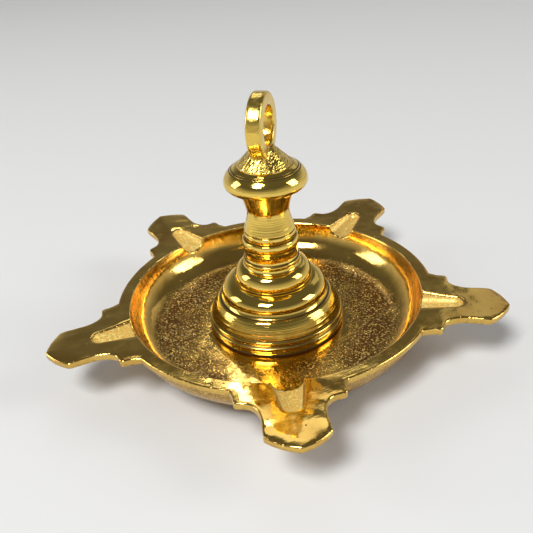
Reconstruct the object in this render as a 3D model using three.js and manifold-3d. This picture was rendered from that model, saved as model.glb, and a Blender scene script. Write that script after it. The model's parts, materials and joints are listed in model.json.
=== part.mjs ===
// Hanging oil lamp: a cast brass pan with five wick beaks, a turned stem and a ring to hang it by.
// Millimetres, +Z up. The origin is on the stem's axis, in the plane that the foot ring stands on.
import * as THREE from "three";
import { mergeVertices } from "three/addons/utils/BufferGeometryUtils.js";
import Module from "manifold-3d";

const wasm = await Module();
wasm.setup();

// Driving sizes of the oil pan
const beakCount = 5;
const rimRadius = 58; // inner edge of the flat rim
const rimWidth = 5.1;
const rimThickness = 2.6;
const bowlDepth = 13.8; // from the top of the rim to the floor
const bowlWall = 2.6;
const wallSpread = 12; // how far the wall leans in from the rim to the floor
const floorThickness = 3;
const footHeight = 6; // from the standing plane to the underside of the floor
const footRadius = 28.5;
const footWidth = 4;
const bossRadius = 9; // raised boss round the tie rod, under the bell
const bossHeight = 6;

// Driving sizes of one beak, measured outwards from the edge of the rim
const beakLength = 27.3;
const beakThickness = 2.9;
const shoulderReach = 20.6;
const shoulderHalfWidth = 10.7;
const tipFullness = 1.3; // how far the two edges of the tip bow out
const waistReach = 13;
const waistHalfWidth = 10.4;
const cuspReach = 3.9;
const cuspHalfWidth = 18.8;
const cuspRootHalfWidth = 20.3; // where the cusp runs out into the rim's edge
const cuspRound = 1.6;
const notchHalfWidth = 14.6;
const notchStep = 0.4; // the cusp's far side leans out by this much
const fillet = 1.2;
const beakRoot = 3.1; // how far the beak's plate reaches in over the rim

// Driving sizes of a wick groove and of the keel under it
const grooveMouthRadius = 5.7;
const grooveTipRadius = 3.9;
const grooveReach = 6.9; // from the edge of the rim to the centre of the round tip
const grooveInset = 8; // how far the cut starts inside the bowl's rim
const grooveAxisRise = 1; // the centre of the trough lies this far above the rim
const keelReach = 12;
const keelInset = 5;
const keelHalfWidth = 8;
const keelDrop = 7.6;

// Driving sizes of the bell that stands on the pan's floor, from its foot up
const bandCrown = 0.3;
const beadCrown = 0.5;
const footBandRadius = 27.1;
const footBandHeight = 3.2;
const footBeadRadius = 26.8;
const footBeadHeight = 2.4;
const skirtBottomRadius = 26;
const skirtTopRadius = 22.5;
const skirtHeight = 6.4;
const collarStep = 0.7; // how far the collar steps in from the skirt
const collarRadius = 20.5;
const collarHeight = 2.4;
const lobeRadius = 20.9;
const lobeHeight = 5.1;
const lobeBellyRise = 1.4; // from the collar to the lobe's widest part
const bulgeFootRadius = 14.9;
const bulgeRadius = 15.4;
const bulgeHeight = 7.9;
const bulgeBellyRise = 1.2;
const bellTopRadius = 10.9;
const bellWall = 2.4;
const bellWeb = 3.6; // solid web at the bell's top, which the tie rod passes through

// Driving sizes of the neck
const neckFootRadius = 11.2;
const neckFootHeight = 1.8;
const coveRadius = 10.3;
const coveHeight = 4.2;
const neckBeadRadius = 10.9;
const neckBeadHeight = 4.4;
const neckBandRadius = 10.1;
const neckBandHeight = 2.9;
const neckGrooveDepth = 0.6;
const neckWaistRadius = 8.2;
const neckWaistRise = 6.9; // from the band to the narrowest place
const neckThroatRadius = 8.6;
const neckThroatRise = 10.9;
const neckTopRadius = 10.4;
const neckFlareHeight = 16.2;
const lineWidth = 0.2; // height of the cut lines between turned bands

// Driving sizes of the knob and the ring
const knobRadius = 15.8;
const knobLowerHeight = 4.1; // from the neck to the widest part
const knobUpperHeight = 6.15; // from the widest part to the ring's seat
const knobSeatRadius = 10.8;
const ringOuterRadius = 12.1;
const ringHoleRadius = 7.2;
const ringThickness = 5.8;
const ringEdge = 0.7;
const ringSink = 3.2; // how deep the ring's foot lies in its pad
const padHeight = 5.45;
const padSideHeight = 3.05;
const padSideRadius = 8.05;
const padTopRadius = 5.85;
const shankRadius = 3;
const shankLength = 6;
const ringTurn = -18; // degrees from +X to the axis of the ring's hole

// Driving sizes of the fastening
const rodRadius = 3;
const rodEndGap = 0.6; // between the rod's top and the ring's shank
const clearance = 0.3; // round the rod and the ring's shank
const gasketThickness = 0.8;
const gasketInset = 0.6; // from the edge of the bell's foot
const gasketWidth = 2.6;
const washerRadius = 9;
const washerThickness = 1.2;
const nutAcrossFlats = 10;
const nutHeight = 3.2;

// How finely the round shapes are cut
const panSides = 60;
const stemSides = 40;
const smallSides = 24;
const bandSteps = 4;
const domeSteps = 6;
const wallSteps = 6;

// Heights and radii that follow from the driving sizes
const floorTop = footHeight + floorThickness;
const rimTop = floorTop + bowlDepth;
const rimEdge = rimRadius + rimWidth;
const bellSeat = floorTop + gasketThickness;
const bellHeight =
  footBandHeight + footBeadHeight + skirtHeight + collarHeight + lobeHeight + bulgeHeight;
const neckSeat = bellSeat + bellHeight;
const neckHeight =
  neckFootHeight + coveHeight + neckBeadHeight + neckBandHeight + neckFlareHeight;
const knobSeat = neckSeat + neckHeight;
const ringSeat = knobSeat + knobLowerHeight + knobUpperHeight;
const ringCentre = ringSeat + padHeight - ringSink + ringOuterRadius;
const rodTop = ringSeat - shankLength - rodEndGap;
const boreRadius = rodRadius + clearance;
const overshoot = 1; // how far a cut runs past the surface that it opens

// Finishes
const polishedBrass = { color: 0xcaa040, roughness: 0.16, metalness: 1 };
const castBrass = { color: 0xbd9438, roughness: 0.28, metalness: 1 };
const plainSteel = { color: 0xa9abad, roughness: 0.4, metalness: 1 };
const fibre = { color: 0x3a2d22, roughness: 0.85, metalness: 0 };

// A closed geometry as a manifold-3d solid with its faces pointing out
function solid(geometry) {
  const bare = geometry.clone();
  bare.deleteAttribute("normal");
  bare.deleteAttribute("uv");
  const merged = mergeVertices(bare);
  const triangles = [];
  for (let i = 0; i < merged.index.count; i += 3) {
    const [a, b, c] = [0, 1, 2].map((k) => merged.index.getX(i + k));
    if (a !== b && b !== c && c !== a) triangles.push(a, b, c);
  }
  const vertProperties = merged.attributes.position.array;
  const made = (triVerts) =>
    new wasm.Manifold(new wasm.Mesh({ numProp: 3, vertProperties, triVerts }));
  const first = made(new Uint32Array(triangles));
  return first.volume() > 0 ? first : made(new Uint32Array(triangles).reverse());
}

// A turned shape about the Z axis from its half section, listed as [radius, height]
function turned(section, sides) {
  const points = section.map(([r, z]) => new THREE.Vector2(r, z));
  const lathe = new THREE.LatheGeometry(points, sides);
  return solid(lathe.rotateX(Math.PI / 2));
}

function cylinder(radius, low, high, sides) {
  return turned([[0, low], [radius, low], [radius, high], [0, high]], sides);
}

// A curve from [r0, z0], which it leaves upright, to [r1, z1], where it lies level
function shoulder(r0, z0, r1, z1, steps) {
  return Array.from({ length: steps + 1 }, (_, i) => {
    const t = ((i / steps) * Math.PI) / 2;
    return [r1 + (r0 - r1) * Math.cos(t), z0 + (z1 - z0) * Math.sin(t)];
  });
}

// A rounded band between two heights, standing out from its two edges to the given radius
function band(radius, crown, low, high, steps) {
  return Array.from({ length: steps + 1 }, (_, i) => {
    const t = (i / steps) * Math.PI;
    return [radius - crown + crown * Math.sin(t), low + ((high - low) * (1 - Math.cos(t))) / 2];
  });
}

// A smooth line through a few [radius, height] places
function flowing(places, steps) {
  const line = new THREE.SplineCurve(places.map(([r, z]) => new THREE.Vector2(r, z)));
  return line.getPoints(steps).map((p) => [p.x, p.y]);
}

function mesh(name, body, finish) {
  const { numProp, vertProperties, triVerts } = body.getMesh();
  const positions = new Float32Array((vertProperties.length / numProp) * 3);
  for (let i = 0; i < positions.length / 3; i += 1) {
    positions.set(vertProperties.subarray(i * numProp, i * numProp + 3), i * 3);
  }
  const geometry = new THREE.BufferGeometry();
  geometry.setAttribute("position", new THREE.BufferAttribute(positions, 3));
  geometry.setIndex(new THREE.BufferAttribute(triVerts, 1));
  geometry.computeVertexNormals();
  const made = new THREE.Mesh(geometry, new THREE.MeshStandardMaterial(finish));
  made.name = name;
  return made;
}

// The pan's body before the bowl is hollowed out: foot ring, underside, wall and rim
function panBlank() {
  const floorEdge = rimRadius - wallSpread;
  const underRim = rimTop - rimThickness;
  const underside = shoulder(rimRadius + bowlWall, underRim, floorEdge, footHeight, wallSteps);
  return turned(
    [
      [0, footHeight],
      [footRadius - footWidth, footHeight],
      [footRadius - footWidth, 0],
      [footRadius, 0],
      [footRadius, footHeight],
      ...underside.reverse(),
      [rimEdge, underRim],
      [rimEdge, rimTop],
      [0, rimTop],
    ],
    panSides,
  );
}

// The room that the oil takes, with the boss for the tie rod left standing
function bowlRoom() {
  const floorEdge = rimRadius - wallSpread;
  const wall = shoulder(rimRadius, rimTop, floorEdge, floorTop, wallSteps);
  return turned(
    [
      [0, floorTop + bossHeight],
      [bossRadius, floorTop + bossHeight],
      [bossRadius, floorTop],
      ...wall.reverse(),
      [rimRadius, rimTop + overshoot],
      [0, rimTop + overshoot],
    ],
    panSides,
  );
}

// One half of a beak's outline, from its root on the rim to its pointed tip
function beakOutline() {
  const half = new THREE.Shape();
  half.moveTo(-beakRoot, 0);
  half.lineTo(-beakRoot, cuspRootHalfWidth);
  half.quadraticCurveTo(0, cuspHalfWidth, cuspReach - cuspRound, cuspHalfWidth);
  half.quadraticCurveTo(cuspReach, cuspHalfWidth, cuspReach, cuspHalfWidth - cuspRound);
  half.lineTo(cuspReach + notchStep, notchHalfWidth);
  half.bezierCurveTo(
    cuspReach + notchStep + fillet,
    waistHalfWidth + fillet,
    waistReach - 3 * fillet,
    waistHalfWidth,
    waistReach,
    waistHalfWidth,
  );
  half.lineTo(shoulderReach, shoulderHalfWidth);
  half.quadraticCurveTo(
    (shoulderReach + beakLength) / 2 + tipFullness,
    shoulderHalfWidth / 2 + tipFullness,
    beakLength,
    0,
  );
  return half.getPoints(bandSteps);
}

// A flat beak along +X from the axis, mirrored from its half outline
function beakPlate() {
  const half = beakOutline().slice(1);
  const other = half.slice(0, -1).reverse();
  const outline = [...half, ...other.map((p) => new THREE.Vector2(p.x, -p.y))];
  const plate = new THREE.ExtrudeGeometry(new THREE.Shape(outline), {
    depth: beakThickness,
    bevelEnabled: false,
  });
  return solid(plate.translate(rimEdge, 0, rimTop - beakThickness));
}

// The ridge under a beak that gives the wick groove its wall
function keel() {
  const ends = [rimEdge - rimWidth - keelInset, rimEdge + keelReach];
  const halfLength = (ends[1] - ends[0]) / 2;
  const ridge = new THREE.SphereGeometry(1, smallSides, smallSides / 2);
  ridge.scale(halfLength, keelHalfWidth, keelDrop);
  ridge.translate((ends[0] + ends[1]) / 2, 0, rimTop);
  const below = new THREE.BoxGeometry(4 * halfLength, 4 * keelHalfWidth, keelDrop + overshoot);
  below.translate(rimEdge, 0, rimTop - (keelDrop + overshoot) / 2 - beakThickness / 2);
  return solid(ridge).intersect(solid(below));
}

// The tapered round trough that a wick lies in, narrowing to its round tip
function groove() {
  const start = rimRadius - grooveInset;
  const tip = rimEdge + grooveReach;
  const taper = (grooveMouthRadius - grooveTipRadius) / (tip - rimRadius);
  const tipEnd = shoulder(grooveTipRadius, tip, 0, tip + grooveTipRadius, domeSteps);
  const trough = new THREE.LatheGeometry(
    [
      [0, start],
      [grooveMouthRadius + taper * grooveInset, start],
      ...tipEnd,
    ].map(([r, z]) => new THREE.Vector2(r, z)),
    smallSides,
  );
  trough.rotateZ(-Math.PI / 2);
  trough.translate(0, 0, rimTop + grooveAxisRise);
  return solid(trough);
}

// Turns a shape made along +X to one of the beaks; the first beak points along -Y
function atBeak(body, index) {
  return body.rotate([0, 0, -90 + (index * 360) / beakCount]);
}

function oilPan() {
  let pan = panBlank();
  for (let i = 0; i < beakCount; i += 1) {
    pan = pan.add(atBeak(beakPlate(), i)).add(atBeak(keel(), i));
  }
  pan = pan.subtract(bowlRoom());
  for (let i = 0; i < beakCount; i += 1) {
    pan = pan.subtract(atBeak(groove(), i));
  }
  return pan.subtract(cylinder(boreRadius, 0, rimTop, smallSides));
}

// The hollow turned bell, with its foot band, skirt, lobe and bulge
function bellFoot() {
  const bandTop = bellSeat + footBandHeight;
  const beadTop = bandTop + footBeadHeight;
  const skirtTop = beadTop + skirtHeight;
  const collarTop = skirtTop + collarHeight;
  const lobeTop = collarTop + lobeHeight;
  const lobeBelly = collarTop + lobeBellyRise;
  const bulgeBelly = lobeTop + bulgeBellyRise;
  const outside = [
    ...band(footBandRadius, bandCrown, bellSeat, bandTop, bandSteps),
    ...band(footBeadRadius, beadCrown, bandTop + lineWidth, beadTop, bandSteps),
    [skirtBottomRadius, beadTop + lineWidth],
    [skirtTopRadius, skirtTop - lineWidth],
    [skirtTopRadius - collarStep, skirtTop + lineWidth],
    [collarRadius, collarTop],
    ...shoulder(lobeRadius, lobeBelly, bulgeFootRadius, lobeTop, domeSteps),
    ...shoulder(bulgeRadius, bulgeBelly, bellTopRadius, neckSeat, domeSteps),
  ];
  const inside = [
    [boreRadius, neckSeat - bellWeb],
    [bellTopRadius - bellWall, neckSeat - bellWeb],
    [bulgeRadius - bellWall, bulgeBelly],
    [bulgeFootRadius - bellWall, lobeTop - bellWall],
    [lobeRadius - bellWall, lobeBelly - bellWall / 2],
    [collarRadius - bellWall, skirtTop],
    [skirtBottomRadius - bellWall, beadTop],
    [footBandRadius - bellWall - gasketInset, bellSeat],
  ];
  return turned([...outside, [boreRadius, neckSeat], ...inside, outside[0]], stemSides);
}

// The neck between the bell and the knob, with its foot, cove, two bands and flare
function neck() {
  const footTop = neckSeat + neckFootHeight;
  const coveTop = footTop + coveHeight;
  const beadTop = coveTop + neckBeadHeight;
  const bandTop = beadTop + neckBandHeight;
  const outside = [
    ...band(neckFootRadius, bandCrown, neckSeat, footTop, bandSteps),
    [coveRadius, footTop + 2 * lineWidth],
    [coveRadius, coveTop - lineWidth],
    ...band(neckBeadRadius, neckGrooveDepth, coveTop, beadTop - lineWidth, bandSteps),
    ...band(neckBandRadius, bandCrown, beadTop, bandTop - lineWidth, bandSteps),
    [neckBandRadius - neckGrooveDepth, bandTop],
    ...flowing(
      [
        [neckBandRadius - lineWidth, bandTop + 2 * lineWidth],
        [neckWaistRadius, bandTop + neckWaistRise],
        [neckThroatRadius, bandTop + neckThroatRise],
        [neckTopRadius, knobSeat],
      ],
      2 * domeSteps,
    ),
  ];
  const section = [...outside, [boreRadius, knobSeat], [boreRadius, neckSeat], outside[0]];
  return turned(section, stemSides);
}

// The onion-shaped knob, with a flat seat on its crown for the ring
function knob() {
  const widest = knobSeat + knobLowerHeight;
  const lowerFull = knobLowerHeight / Math.sqrt(1 - (neckTopRadius / knobRadius) ** 2);
  const upperFull = knobUpperHeight / Math.sqrt(1 - (knobSeatRadius / knobRadius) ** 2);
  const lowTurn = -Math.acos(neckTopRadius / knobRadius);
  const highTurn = Math.acos(knobSeatRadius / knobRadius);
  const steps = 2 * domeSteps;
  const outside = Array.from({ length: steps + 1 }, (_, i) => {
    const t = lowTurn + ((highTurn - lowTurn) * i) / steps;
    const full = t < 0 ? lowerFull : upperFull;
    return [knobRadius * Math.cos(t), widest + full * Math.sin(t)];
  });
  const section = [...outside, [boreRadius, ringSeat], [boreRadius, knobSeat], outside[0]];
  return turned(section, stemSides);
}

// The flat-sided ring with its filed pad and the shank that screws into the knob
function suspensionRing() {
  const half = ringThickness / 2;
  const lathe = new THREE.LatheGeometry(
    [
      [ringHoleRadius, -half + ringEdge],
      [ringHoleRadius + ringEdge, -half],
      [ringOuterRadius - ringEdge, -half],
      [ringOuterRadius, -half + ringEdge],
      [ringOuterRadius, half - ringEdge],
      [ringOuterRadius - ringEdge, half],
      [ringHoleRadius + ringEdge, half],
      [ringHoleRadius, half - ringEdge],
      [ringHoleRadius, -half + ringEdge],
    ].map(([r, z]) => new THREE.Vector2(r, z)),
    stemSides,
  );
  lathe.rotateZ(-Math.PI / 2);
  const ring = solid(lathe).rotate([0, 0, ringTurn]).translate([0, 0, ringCentre]);
  const pad = turned(
    [
      [0, ringSeat],
      [knobSeatRadius, ringSeat],
      [padSideRadius, ringSeat + padSideHeight],
      [padTopRadius, ringSeat + padHeight],
      [0, ringSeat + padHeight],
    ],
    smallSides,
  );
  const hole = cylinder(ringHoleRadius, -ringThickness, ringThickness, smallSides);
  const eye = hole.rotate([0, 90, ringTurn]).translate([0, 0, ringCentre]);
  const above = cylinder(ringOuterRadius, ringSeat, ringCentre + ringOuterRadius, smallSides);
  const shank = cylinder(shankRadius, ringSeat - shankLength, ringSeat + overshoot, smallSides);
  return ring.intersect(above).add(pad.subtract(eye)).add(shank);
}

function tube(outer, inner, low, high, sides) {
  return turned([[inner, low], [outer, low], [outer, high], [inner, high], [inner, low]], sides);
}

function baseNut(low) {
  const hexagon = cylinder(nutAcrossFlats / Math.sqrt(3), low - nutHeight, low, 6);
  return hexagon.subtract(cylinder(boreRadius, low - 2 * nutHeight, low + nutHeight, smallSides));
}

const lamp = new THREE.Group();
const washerLow = footHeight - washerThickness;
const gasketEdge = footBandRadius - gasketInset;
lamp.add(mesh("oil_pan", oilPan(), castBrass));
lamp.add(mesh("bell_foot", bellFoot(), polishedBrass));
lamp.add(mesh("turned_neck", neck(), polishedBrass));
lamp.add(mesh("crown_knob", knob(), polishedBrass));
lamp.add(mesh("suspension_ring", suspensionRing(), castBrass));
lamp.add(mesh("tie_rod", cylinder(rodRadius, 0, rodTop, smallSides), plainSteel));
lamp.add(
  mesh(
    "foot_gasket",
    tube(gasketEdge, gasketEdge - gasketWidth, floorTop, bellSeat, stemSides),
    fibre,
  ),
);
lamp.add(
  mesh(
    "base_washer",
    tube(washerRadius, boreRadius, washerLow, footHeight, smallSides),
    plainSteel,
  ),
);
lamp.add(mesh("base_nut", baseNut(washerLow), plainSteel));

export default lamp;
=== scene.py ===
# %% [markdown]
# # A hanging oil lamp in brass
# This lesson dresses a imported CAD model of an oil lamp: a cast pan with five wick beaks, a turned
# stem that stands in the pan, and a ring to hang it by. The CAD gives the sizes and the bodies. Here
# each piece that shows is made again as a finer mesh of the same size, and gets a brass of its own.

# %% Load the frame
import json
import math

import bmesh
import bpy
import numpy as np
from mathutils import Matrix, Vector

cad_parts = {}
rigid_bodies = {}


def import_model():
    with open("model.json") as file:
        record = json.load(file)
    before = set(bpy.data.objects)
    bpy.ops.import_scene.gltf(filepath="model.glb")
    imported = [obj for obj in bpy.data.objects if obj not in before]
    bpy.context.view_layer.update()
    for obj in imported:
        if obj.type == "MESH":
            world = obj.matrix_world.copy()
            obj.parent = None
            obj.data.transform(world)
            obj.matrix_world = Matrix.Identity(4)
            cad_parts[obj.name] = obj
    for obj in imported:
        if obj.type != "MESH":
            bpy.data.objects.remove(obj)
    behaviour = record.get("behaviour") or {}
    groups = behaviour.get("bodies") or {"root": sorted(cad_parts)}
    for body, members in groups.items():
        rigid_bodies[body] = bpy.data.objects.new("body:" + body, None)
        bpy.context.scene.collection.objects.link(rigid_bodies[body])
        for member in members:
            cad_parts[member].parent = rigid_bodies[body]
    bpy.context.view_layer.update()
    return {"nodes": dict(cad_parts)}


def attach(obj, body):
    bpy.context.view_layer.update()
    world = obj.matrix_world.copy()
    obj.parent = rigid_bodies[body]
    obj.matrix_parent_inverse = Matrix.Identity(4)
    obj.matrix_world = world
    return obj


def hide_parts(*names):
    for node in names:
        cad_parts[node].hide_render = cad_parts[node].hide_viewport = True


for stray in list(bpy.data.objects):
    bpy.data.objects.remove(stray)
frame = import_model()
mm = 0.001
print("nodes:", sorted(frame["nodes"]))

# %% [markdown]
# ## The sizes
# The pan's rim is the plane that everything is measured from, because the photograph shows it best.
# Heights below are in millimetres from the top of the rim, and are lifted to their place at the end.

# %% Sizes of the pan and its beaks
rim_top = 22.8  # height of the rim above the standing plane
rim_radius = 58.0  # inner edge of the rim
rim_edge = 63.1  # outer edge of the rim
rim_thickness = 2.6
beak_thickness = 2.9
bowl_depth = 13.8
floor_edge = 46.0
bowl_wall = 2.6
foot_plane = -16.8  # underside of the floor
foot_radius = 28.5
foot_inner = 24.5
boss_radius = 9.0
boss_height = 6.0
bore_radius = 3.3
beak_count = 5
half_sector = math.pi / beak_count
floor_ease = 4.0  # the bend into the wall starts this far before the floor's edge, and eases in

# Sizes of one beak, from the stem's axis outwards
beak_tip = 90.4
shoulder_reach = 83.7
shoulder_half = 10.7
groove_tip_centre = 70.2
groove_tip_radius = 3.6
groove_mouth_radius = 5.7
groove_rise = 1.0  # the trough's centre lies this far above the rim
keel_reach = 76.3
keel_half = 8.0
keel_drop = 9.4
keel_turn = math.radians(9.5)  # the columns that carry the nose lie within this angle
dressed_depth = 0.55  # the slope that was filed along the tip's two edges
dressed_width = 4.6
dressed_start = 76.0
dressed_run = 6.0  # it takes this far to reach its full depth
tip_bulge = 1.1  # a little more than the tip's two edges bulge beyond straight lines
side_spare = 2.8  # the beak's sides are dressed this much less
print("from the axis to a beak's tip:", beak_tip, "mm")


# %% [markdown]
# ## Laying a grid over a form
# A cast pan has no straight edges to extrude. It could be cut out of a disc with booleans, but those
# leave long thin triangles that show on polished metal. So each region of it is a grid. `create_grid`
# makes the faces, and a small function then says where the point in each column and row belongs.
# Grids that share a border are welded along it, which gives rows of quads that bevel and reflect well.

# %% A grid whose points are placed by a rule
def lay_grid(bm, columns, rows, place, rough=0.0, edge_rough=None):
    """Each point is marked with how rough it is left, from 0 (buffed) to 1 (as it left the sand)."""
    mark = bm.verts.layers.float.get("as_cast") or bm.verts.layers.float.new("as_cast")
    made = bmesh.ops.create_grid(bm, x_segments=columns, y_segments=rows, size=1.0)
    for v in made["verts"]:
        column = round((v.co.x + 1) * columns / 2)
        row = round((v.co.y + 1) * rows / 2)
        v.co = place(column, row)
        v[mark] = rough if row > 0 or edge_rough is None else edge_rough


def between(start, end, share):
    return start + (end - start) * share


def curve_point(points, t):
    """The place at share t along a chain of points, measured by length."""
    steps = np.linalg.norm(np.diff(points, axis=0), axis=1)
    along = np.concatenate([[0], np.cumsum(steps)]) / steps.sum()
    return np.array([np.interp(t, along, points[:, i]) for i in (0, 1)])


def bezier(a, b, c, d, steps):
    t = np.linspace(0, 1, steps + 1)[:, None]
    a, b, c, d = (np.array(p, float) for p in (a, b, c, d))
    return (1 - t) ** 3 * a + 3 * (1 - t) ** 2 * t * b + 3 * (1 - t) * t**2 * c + t**3 * d


def bow(a, b, c, steps):
    """A curve from a to c that leans towards b."""
    a, b, c = (np.array(p, float) for p in (a, b, c))
    return bezier(a, between(a, b, 2 / 3), between(c, b, 2 / 3), c, steps)


# %% [markdown]
# ## Outlines of the pan's top
# One half of one beak repeats ten times round the pan, turned and mirrored. Its outer outline runs
# from the pointed tip round the shoulder, in to the waist, over the small cusp and on along the rim.
# Its inner outline runs round the groove's tip, along the groove and then along the rim's inner edge.
# A few curves keep both outlines smooth, where a long list of traced points would waver.

# %% The two outlines of a half beak
tip_columns = 12
side_columns = 26
rim_columns = 18
beak_columns = tip_columns + side_columns
top_columns = beak_columns + rim_columns
groove_rows = 9
mouth_spread = 0.8  # under 1, so that the groove's columns stand further apart towards its mouth
cusp_end = (59.84, 20.01)

tip_edge = bow((beak_tip, 0), (88.35, 6.65), (shoulder_reach, shoulder_half), tip_columns)
side_edge = np.vstack([
    [(shoulder_reach, shoulder_half), (80.0, 10.6)],
    bezier((76.1, 10.4), (72.5, 10.4), (68.7, 11.6), (67.5, 14.6), 10),
    bow((67.0, 17.2), (67.0, 18.8), (65.4, 18.8), 4),
    bow((63.1, 18.8), (61.5, 19.5), cusp_end, 4),
])
cusp_root = math.atan2(cusp_end[1], cusp_end[0])


def groove_half(x):
    """Half the groove's width at the rim's plane, and the radius of its trough."""
    share = (x - rim_radius) / (groove_tip_centre - rim_radius)
    radius = between(groove_mouth_radius, groove_tip_radius, share)
    return math.sqrt(radius**2 - groove_rise**2), radius


mouth_half = groove_half(rim_radius)[0]
mouth_angle = math.asin(mouth_half / rim_radius)
mouth_x = rim_radius * math.cos(mouth_angle)
tip_half = groove_half(groove_tip_centre)[0]


def inner_edge(k):
    if k <= tip_columns:
        turn = k / tip_columns * math.pi / 2
        return np.array([groove_tip_centre + tip_half * math.cos(turn), tip_half * math.sin(turn)])
    if k == beak_columns:
        return np.array([mouth_x, mouth_half])
    if k < beak_columns:
        share = 1 - (1 - (k - tip_columns) / side_columns) ** mouth_spread
        x = between(groove_tip_centre, mouth_x, share)
        return np.array([x, groove_half(x)[0]])
    turn = between(mouth_angle, half_sector, (k - beak_columns) / rim_columns)
    return rim_radius * np.array([math.cos(turn), math.sin(turn)])


def outer_edge(k):
    if k <= tip_columns:
        return tip_edge[k]
    if k <= beak_columns:
        return curve_point(side_edge, (k - tip_columns) / side_columns)
    turn = between(cusp_root, half_sector, (k - beak_columns) / rim_columns)
    return rim_edge * np.array([math.cos(turn), math.sin(turn)])


print("columns in a half beak:", top_columns)

# %% [markdown]
# ## The bowl, the groove and the underside
# The bowl is a round dish, so its section gives a height for each radius. The groove is a tapered
# trough that ends in a quarter of a ball. Under the beak a smooth nose grows out of the bowl to carry
# the groove. Each is one more grid that starts on the outline where the last one ended.

# %% Sections of the bowl and of the groove
floor_bend = bowl_depth / (rim_radius - floor_edge) ** 2  # how sharply the wall leaves the floor
lip_spread = 1.5  # over 1, so that the groove's rows are wider near its lip


def round_axis(r, turn, z):
    return (r * math.cos(turn), r * math.sin(turn), z)


def eased(r):
    """How far the eased bend lies above a floor and wall that meet at the floor's edge."""
    inward = max(r - floor_edge + floor_ease, 0)
    outward = max(r - floor_edge, 0)
    if outward > floor_ease:
        return floor_bend * floor_ease**2 / 6
    return floor_bend * (inward**3 / (12 * floor_ease) - outward**2 / 2)


def bowl_inside(share):
    """From the rim's inner edge (0) down the wall to the edge of the floor (1)."""
    turn = share * math.pi / 2
    r = between(floor_edge, rim_radius, math.cos(turn))
    return r, -bowl_depth * math.sin(turn) + eased(r) * math.sin(turn) ** 2


def floor_height(r):
    return -bowl_depth + eased(r)


def wall_share(z):
    shares = np.linspace(0, 1, 400)
    heights = np.array([bowl_inside(s)[1] for s in shares])
    return float(np.interp(-z, -heights, shares))


def from_bottom(j):
    """How far round the trough row j still is from its bottom."""
    return (1 - j / groove_rows) ** lip_spread


def mouth_point(j):
    """A point of the groove's mouth in the bowl's wall: row 0 on the rim, last row at the bottom."""
    lip = math.acos(groove_rise / groove_mouth_radius)
    turn = lip * from_bottom(j)
    y = groove_mouth_radius * math.sin(turn)
    z = groove_rise - groove_mouth_radius * math.cos(turn)
    if j == 0:
        return np.array([mouth_x, mouth_half, 0.0])
    r = bowl_inside(wall_share(z))[0]
    return np.array([math.sqrt(r**2 - y**2), y, z])


def groove_point(k, j):
    """A point of the trough: a quarter of a ball at the tip, whose last columns lean to the mouth."""
    if k == beak_columns:
        return mouth_point(j)
    if k <= tip_columns:
        turn = k / tip_columns * math.pi / 2
        lip = math.acos(groove_rise / groove_tip_radius)
        drop = lip * from_bottom(j)
        reach = groove_tip_radius * math.sin(drop)
        z = groove_rise - groove_tip_radius * math.cos(drop)
        return (groove_tip_centre + reach * math.cos(turn), reach * math.sin(turn), z)
    x = inner_edge(k)[0]
    radius = groove_half(x)[1]
    drop = math.acos(groove_rise / radius) * from_bottom(j)
    lean = ((k - tip_columns) / side_columns) ** 4
    x += lean * (mouth_point(j)[0] - mouth_x)
    return (x, radius * math.sin(drop), groove_rise - radius * math.cos(drop))


print("the groove's mouth goes down to", round(mouth_point(groove_rows)[2], 1), "mm")

# %% Grid of the rim's and the beaks' top
top_rows = 7


def row_shares(near, rows):
    """Even rows between two outlines, but the first and last lie near them, to guide the bevels."""
    return [0, near, *np.linspace(near, 1 - near, rows - 1)[1:-1], 1 - near, 1]


def top_point(k, row):
    """The rows beside the two edges keep clear of the bevels, and lie closest to them at the tip."""
    inner, outer = inner_edge(k), outer_edge(k)
    near = 0.06 + 0.09 * min(k / tip_columns, 1) + 0.03 * min(k / beak_columns, 1)
    place = between(inner, outer, row_shares(near, top_rows)[row])
    return (*place, tip_chamfer(place))


def tip_chamfer(place):
    """The beak's tip is dressed down by hand: a soft slope some 4 mm wide along its two edges."""
    x, y = place[0], abs(place[1])
    edge = Vector((shoulder_half, beak_tip - shoulder_reach)).normalized()
    from_tip = (beak_tip - x) * edge.x - y * edge.y + tip_bulge
    from_side = shoulder_half - y + side_spare
    depth = max(0.0, 1 - max(min(from_tip, from_side), 0) / dressed_width)
    begun = min(max((x - dressed_start) / dressed_run, 0.0), 1.0)
    return -dressed_depth * begun * depth**1.6


# %% Grids of the bowl
wall_rows = 22
floor_rows = 30
boss_rows = 2
floor_crowding = 1.4  # over 1, so that the floor's rows lie closer together where it begins to bend


def wall_columns():
    """Start of each column of the bowl's wall: its share down the wall and its angle."""
    starts = []
    for j in range(groove_rows, 0, -1):
        x, y, z = mouth_point(j)
        starts.append((wall_share(z), math.atan2(y, x)))
    for i in range(rim_columns + 1):
        starts.append((0.0, between(mouth_angle, half_sector, i / rim_columns)))
    return starts


columns = wall_columns()
bowl_columns = len(columns) - 1


def floor_turn(column):
    return half_sector * column / bowl_columns


def wall_point(column, row):
    """The columns leave the mouth squarely and spread until they are even at the floor's edge."""
    start, turn = columns[column]
    down = row / wall_rows
    r, z = bowl_inside(between(start, 1, down))
    if row == wall_rows:
        z = floor_height(floor_edge)
    return round_axis(r, between(turn, floor_turn(column), 1 - (1 - down) ** 3), z)


def floor_point(column, row):
    r = between(floor_edge, boss_radius, (row / floor_rows) ** floor_crowding)
    return round_axis(r, floor_turn(column), floor_height(r))


def boss_point(column, row):
    top = -bowl_depth + boss_height
    r, z = [(boss_radius, floor_height(boss_radius)), (boss_radius, top), (bore_radius, top)][row]
    return round_axis(r, floor_turn(column), z)


print("columns of the bowl in half a beak:", bowl_columns)

# %% Grids of the pan's outside
side_rows = 2
under_rows = 5
nose_rows = 16
thinning_columns = 6


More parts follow.
